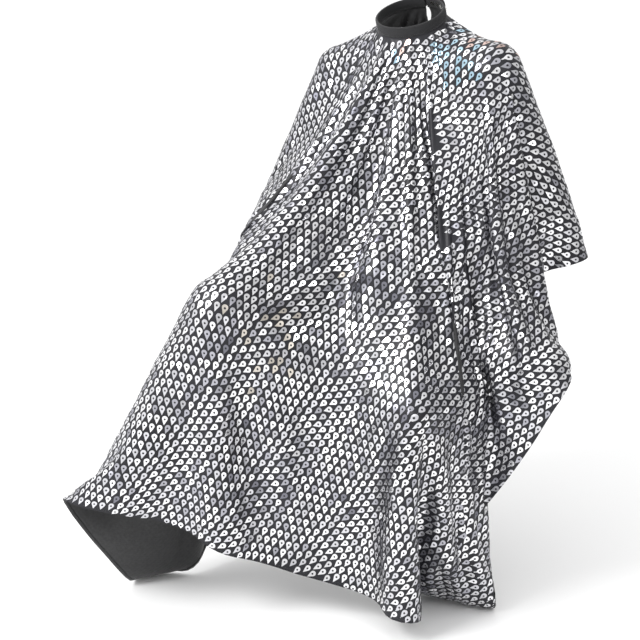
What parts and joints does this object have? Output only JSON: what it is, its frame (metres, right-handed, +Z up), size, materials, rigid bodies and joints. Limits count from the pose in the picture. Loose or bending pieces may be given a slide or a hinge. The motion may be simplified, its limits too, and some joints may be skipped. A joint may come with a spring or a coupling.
{
  "type": "barber cape",
  "caption": "Hairdressing cape with a print of foil drops, ribbed snap collar, shown draped over a seated client and reaching the shins.",
  "frame": {"origin": "centre of the collar opening at half the height of the band", "axes": "+Z up along the wearer's neck, the wearer faces -Y, +X is the wearer's left"},
  "size_m": [0.7989, 0.8346, 1.1106],
  "materials": {
    "print": "black satin polyester with silver foil drops",
    "knit": "ribbed knit, matte",
    "elastic": "woven elastic tape",
    "snap_metal": "nickel plated",
    "snap_plastic": "black enamel cap"
  },
  "bodies": {
    "cape": {"cloth_yoke_back_right": "print", "cloth_yoke_right": "print", "cloth_yoke_front": "print", "cloth_yoke_left": "print", "cloth_yoke_back_left": "print", "cloth_body_back_right": "print", "cloth_body_right": "print", "cloth_body_front": "print", "cloth_body_left": "print", "cloth_body_back_left": "print", "cloth_skirt_back_right": "print", "cloth_skirt_right": "print", "cloth_skirt_front": "print", "cloth_skirt_left": "print", "cloth_skirt_back_left": "print", "collar_band": "knit", "collar_elastic": "elastic", "stud_1": "snap_metal", "stud_2": "snap_metal", "stud_3": "snap_metal", "stud_4": "snap_metal", "stud_rivet_1": "snap_metal", "stud_rivet_2": "snap_metal", "stud_rivet_3": "snap_metal", "stud_rivet_4": "snap_metal"},
    "closure_tab": {"tab_strip": "knit", "socket_1": "snap_metal", "socket_2": "snap_metal", "snap_cap_1": "snap_plastic", "snap_cap_2": "snap_plastic"}
  },
  "joints": [
    {"name": "closure_tab_hinge", "type": "hinge", "parent": "cape", "child": "closure_tab", "pos_m": [-0.02386, 0.0551, 0.02226], "axis": [0, -0.3746, 0.9272], "range_deg": [0, 100]}
  ]
}
